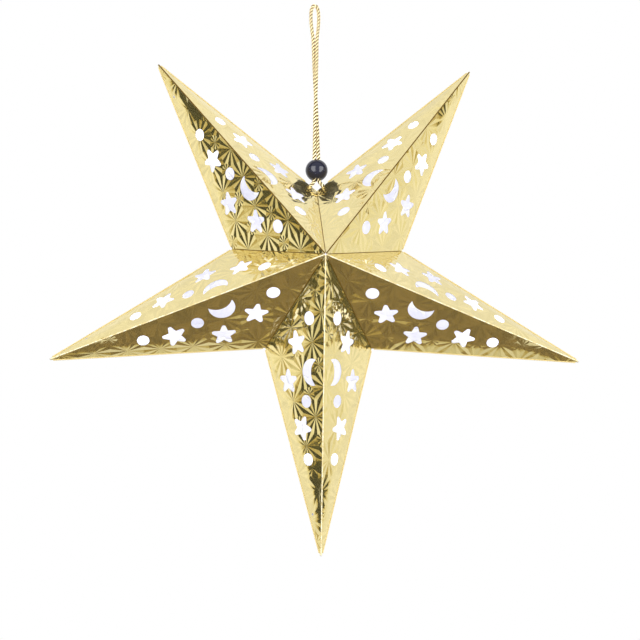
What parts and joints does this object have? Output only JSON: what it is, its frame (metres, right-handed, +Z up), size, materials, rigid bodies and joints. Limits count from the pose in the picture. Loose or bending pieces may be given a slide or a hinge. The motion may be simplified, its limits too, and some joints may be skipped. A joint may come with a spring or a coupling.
{
  "type": "folding star lantern",
  "caption": "Hollow folded star lantern of gold foil-faced card with punched stars, moons and circles, hung on a doubled twisted cord cinched by a round bead",
  "frame": {"origin": "top of the hanging loop", "axes": "+Z up, the front peak points to -Y, +X to the right seen from the front"},
  "size_m": [0.3004, 0.0983, 0.3262],
  "materials": {
    "foil_card": "pale gold mirror foil embossed with starburst facets, white card behind",
    "white_card": "matt white card",
    "gold_cord": "twisted metallic gold thread",
    "bead": "glossy blue-black"
  },
  "bodies": {
    "cord_side_panel": {"upper_left_arm_front_cw_panel": "foil_card", "hanging_cord": "gold_cord", "left_cord_knot": "gold_cord"},
    "upper_left_front_ccw": {"upper_left_arm_front_ccw_panel": "foil_card", "upper_left_arm_front_tab": "white_card"},
    "left_front_cw": {"left_arm_front_cw_panel": "foil_card"},
    "left_front_ccw": {"left_arm_front_ccw_panel": "foil_card", "left_arm_front_tab": "white_card"},
    "bottom_front_cw": {"bottom_arm_front_cw_panel": "foil_card"},
    "bottom_front_ccw": {"bottom_arm_front_ccw_panel": "foil_card", "bottom_arm_front_tab": "white_card"},
    "right_front_cw": {"right_arm_front_cw_panel": "foil_card"},
    "right_front_ccw": {"right_arm_front_ccw_panel": "foil_card", "right_arm_front_tab": "white_card"},
    "upper_right_front_cw": {"upper_right_arm_front_cw_panel": "foil_card"},
    "upper_right_front_ccw": {"upper_right_arm_front_ccw_panel": "foil_card", "right_cord_knot": "gold_cord"},
    "upper_left_back_ccw": {"upper_left_arm_back_ccw_panel": "foil_card", "upper_left_arm_back_tab": "white_card"},
    "upper_left_back_cw": {"upper_left_arm_back_cw_panel": "foil_card"},
    "left_back_ccw": {"left_arm_back_ccw_panel": "foil_card", "left_arm_back_tab": "white_card"},
    "left_back_cw": {"left_arm_back_cw_panel": "foil_card"},
    "bottom_back_ccw": {"bottom_arm_back_ccw_panel": "foil_card", "bottom_arm_back_tab": "white_card"},
    "bottom_back_cw": {"bottom_arm_back_cw_panel": "foil_card"},
    "right_back_ccw": {"right_arm_back_ccw_panel": "foil_card", "right_arm_back_tab": "white_card"},
    "right_back_cw": {"right_arm_back_cw_panel": "foil_card"},
    "upper_right_back_ccw": {"upper_right_arm_back_ccw_panel": "foil_card"},
    "upper_right_back_cw": {"upper_right_arm_back_cw_panel": "foil_card"},
    "cinch_bead": {"cinch_bead": "bead"}
  },
  "joints": [
    {"name": "fan_fold", "type": "hinge", "parent": "cord_side_panel", "child": "upper_left_front_ccw", "pos_m": [0, -0.05, -0.1685], "axis": [0.5603, -0.3022, -0.7712], "range_deg": [0, 60.9], "deforming": ["hanging_cord"]},
    {"name": "upper_left_left_valley", "type": "hinge", "parent": "upper_left_front_ccw", "child": "left_front_cw", "pos_m": [-0.00031, -0.05033, -0.1684], "axis": [-0.6791, 0.7001, 0.2207], "range_deg": [0, 81.09]},
    {"name": "left_ridge", "type": "hinge", "parent": "left_front_cw", "child": "left_front_ccw", "pos_m": [0, -0.05, -0.1685], "axis": [0.9066, -0.3022, 0.2946], "range_deg": [0, 61.4]},
    {"name": "left_bottom_valley", "type": "hinge", "parent": "left_front_ccw", "child": "bottom_front_cw", "pos_m": [-0.00019, -0.05033, -0.16876], "axis": [-0.4197, 0.7001, -0.5777], "range_deg": [0, 81.09]},
    {"name": "bottom_ridge", "type": "hinge", "parent": "bottom_front_cw", "child": "bottom_front_ccw", "pos_m": [0, -0.05, -0.1685], "axis": [0, -0.3022, 0.9532], "range_deg": [0, 61.4]},
    {"name": "bottom_right_valley", "type": "hinge", "parent": "bottom_front_ccw", "child": "right_front_cw", "pos_m": [0.00019, -0.05033, -0.16876], "axis": [0.4197, 0.7001, -0.5777], "range_deg": [0, 81.09]},
    {"name": "right_ridge", "type": "hinge", "parent": "right_front_cw", "child": "right_front_ccw", "pos_m": [0, -0.05, -0.1685], "axis": [-0.9066, -0.3022, 0.2946], "range_deg": [0, 61.4]},
    {"name": "right_upper_right_valley", "type": "hinge", "parent": "right_front_ccw", "child": "upper_right_front_cw", "pos_m": [0.00031, -0.05033, -0.1684], "axis": [0.6791, 0.7001, 0.2207], "range_deg": [0, 81.09]},
    {"name": "upper_right_ridge", "type": "hinge", "parent": "upper_right_front_cw", "child": "upper_right_front_ccw", "pos_m": [0, -0.05, -0.1685], "axis": [-0.5603, -0.3022, -0.7712], "range_deg": [0, 61.4]},
    {"name": "upper_left_ccw_edge", "type": "hinge", "parent": "upper_left_front_ccw", "child": "upper_left_back_ccw", "pos_m": [-0.0485, 0, -0.15274], "axis": [-0.3675, 0, 0.93], "range_deg": [0, 58.42]},
    {"name": "upper_left_cw_edge", "type": "hinge", "parent": "cord_side_panel", "child": "upper_left_back_cw", "pos_m": [0, 0, -0.1175], "axis": [0.7709, 0, -0.6369], "range_deg": [0, 58.42]},
    {"name": "left_ccw_edge", "type": "hinge", "parent": "left_front_ccw", "child": "left_back_ccw", "pos_m": [-0.02998, 0, -0.20976], "axis": [-0.9981, 0, -0.0621], "range_deg": [0, 58.42]},
    {"name": "left_cw_edge", "type": "hinge", "parent": "left_front_cw", "child": "left_back_cw", "pos_m": [-0.0485, 0, -0.15274], "axis": [0.844, 0, 0.5364], "range_deg": [0, 58.42]},
    {"name": "bottom_ccw_edge", "type": "hinge", "parent": "bottom_front_ccw", "child": "bottom_back_ccw", "pos_m": [0.02998, 0, -0.20976], "axis": [-0.2493, 0, -0.9684], "range_deg": [0, 58.42]},
    {"name": "bottom_cw_edge", "type": "hinge", "parent": "bottom_front_cw", "child": "bottom_back_cw", "pos_m": [-0.02998, 0, -0.20976], "axis": [-0.2493, 0, 0.9684], "range_deg": [0, 58.42]},
    {"name": "right_ccw_edge", "type": "hinge", "parent": "right_front_ccw", "child": "right_back_ccw", "pos_m": [0.0485, 0, -0.15274], "axis": [0.844, 0, -0.5364], "range_deg": [0, 58.42]},
    {"name": "right_cw_edge", "type": "hinge", "parent": "right_front_cw", "child": "right_back_cw", "pos_m": [0.02998, 0, -0.20976], "axis": [-0.9981, 0, 0.0621], "range_deg": [0, 58.42]},
    {"name": "upper_right_ccw_edge", "type": "hinge", "parent": "upper_right_front_ccw", "child": "upper_right_back_ccw", "pos_m": [0, 0, -0.1175], "axis": [0.7709, 0, 0.6369], "range_deg": [0, 58.42]},
    {"name": "upper_right_cw_edge", "type": "hinge", "parent": "upper_right_front_cw", "child": "upper_right_back_cw", "pos_m": [0.0485, 0, -0.15274], "axis": [-0.3675, 0, -0.93], "range_deg": [0, 58.42]},
    {"name": "bead_slide", "type": "slide", "parent": "cord_side_panel", "child": "cinch_bead", "axis": [0, 0, 1], "range_m": [0, 0.075]}
  ],
  "couplings": [
    {"joint": "upper_left_left_valley", "follows": "fan_fold", "ratio": 1.3234},
    {"joint": "left_ridge", "follows": "fan_fold", "ratio": 1},
    {"joint": "left_bottom_valley", "follows": "fan_fold", "ratio": 1.3234},
    {"joint": "bottom_ridge", "follows": "fan_fold", "ratio": 1},
    {"joint": "bottom_right_valley", "follows": "fan_fold", "ratio": 1.3234},
    {"joint": "right_ridge", "follows": "fan_fold", "ratio": 1},
    {"joint": "right_upper_right_valley", "follows": "fan_fold", "ratio": 1.3234},
    {"joint": "upper_right_ridge", "follows": "fan_fold", "ratio": 1},
    {"joint": "upper_left_ccw_edge", "follows": "fan_fold", "ratio": 0.951},
    {"joint": "upper_left_cw_edge", "follows": "fan_fold", "ratio": 0.951},
    {"joint": "left_ccw_edge", "follows": "fan_fold", "ratio": 0.951},
    {"joint": "left_cw_edge", "follows": "fan_fold", "ratio": 0.951},
    {"joint": "bottom_ccw_edge", "follows": "fan_fold", "ratio": 0.951},
    {"joint": "bottom_cw_edge", "follows": "fan_fold", "ratio": 0.951},
    {"joint": "right_ccw_edge", "follows": "fan_fold", "ratio": 0.951},
    {"joint": "right_cw_edge", "follows": "fan_fold", "ratio": 0.951},
    {"joint": "upper_right_ccw_edge", "follows": "fan_fold", "ratio": 0.951},
    {"joint": "upper_right_cw_edge", "follows": "fan_fold", "ratio": 0.951}
  ]
}
